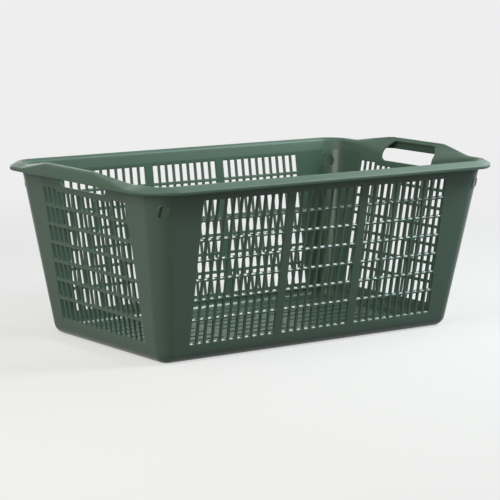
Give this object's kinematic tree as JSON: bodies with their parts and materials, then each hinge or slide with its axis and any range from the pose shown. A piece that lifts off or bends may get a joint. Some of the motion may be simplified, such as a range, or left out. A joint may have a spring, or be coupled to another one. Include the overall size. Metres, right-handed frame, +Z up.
{
  "type": "openwork basket",
  "caption": "Rectangular openwork laundry basket moulded in one piece: slotted leaning walls, turned-down rim, and a raised end rim with a hand hole at each end.",
  "frame": {"origin": "on the table, under the middle of the basket", "axes": "+X along the basket's length towards the right handle, +Y from the front long wall to the back one, +Z up"},
  "size_m": [0.61, 0.378, 0.247],
  "materials": {
    "floor_plastic": "satin moulded polypropylene",
    "bottom_edge_front_plastic": "satin moulded polypropylene",
    "bottom_edge_back_plastic": "satin moulded polypropylene",
    "bottom_edge_left_plastic": "satin moulded polypropylene",
    "bottom_edge_right_plastic": "satin moulded polypropylene",
    "front_wall_plastic": "satin moulded polypropylene",
    "back_wall_plastic": "satin moulded polypropylene",
    "left_wall_plastic": "satin moulded polypropylene",
    "right_wall_plastic": "satin moulded polypropylene",
    "corner_front_left_plastic": "satin moulded polypropylene",
    "corner_front_right_plastic": "satin moulded polypropylene",
    "corner_back_left_plastic": "satin moulded polypropylene",
    "corner_back_right_plastic": "satin moulded polypropylene",
    "rim_front_plastic": "satin moulded polypropylene",
    "rim_back_plastic": "satin moulded polypropylene",
    "rim_corner_front_left_plastic": "satin moulded polypropylene",
    "rim_corner_front_right_plastic": "satin moulded polypropylene",
    "rim_corner_back_left_plastic": "satin moulded polypropylene",
    "rim_corner_back_right_plastic": "satin moulded polypropylene",
    "left_handle_plastic": "satin moulded polypropylene",
    "right_handle_plastic": "satin moulded polypropylene"
  },
  "bodies": {
    "root": {"floor": "floor_plastic", "bottom_edge_front": "bottom_edge_front_plastic", "bottom_edge_back": "bottom_edge_back_plastic", "bottom_edge_left": "bottom_edge_left_plastic", "bottom_edge_right": "bottom_edge_right_plastic", "front_wall": "front_wall_plastic", "back_wall": "back_wall_plastic", "left_wall": "left_wall_plastic", "right_wall": "right_wall_plastic", "corner_front_left": "corner_front_left_plastic", "corner_front_right": "corner_front_right_plastic", "corner_back_left": "corner_back_left_plastic", "corner_back_right": "corner_back_right_plastic", "rim_front": "rim_front_plastic", "rim_back": "rim_back_plastic", "rim_corner_front_left": "rim_corner_front_left_plastic", "rim_corner_front_right": "rim_corner_front_right_plastic", "rim_corner_back_left": "rim_corner_back_left_plastic", "rim_corner_back_right": "rim_corner_back_right_plastic", "left_handle": "left_handle_plastic", "right_handle": "right_handle_plastic"}
  },
  "joints": []
}
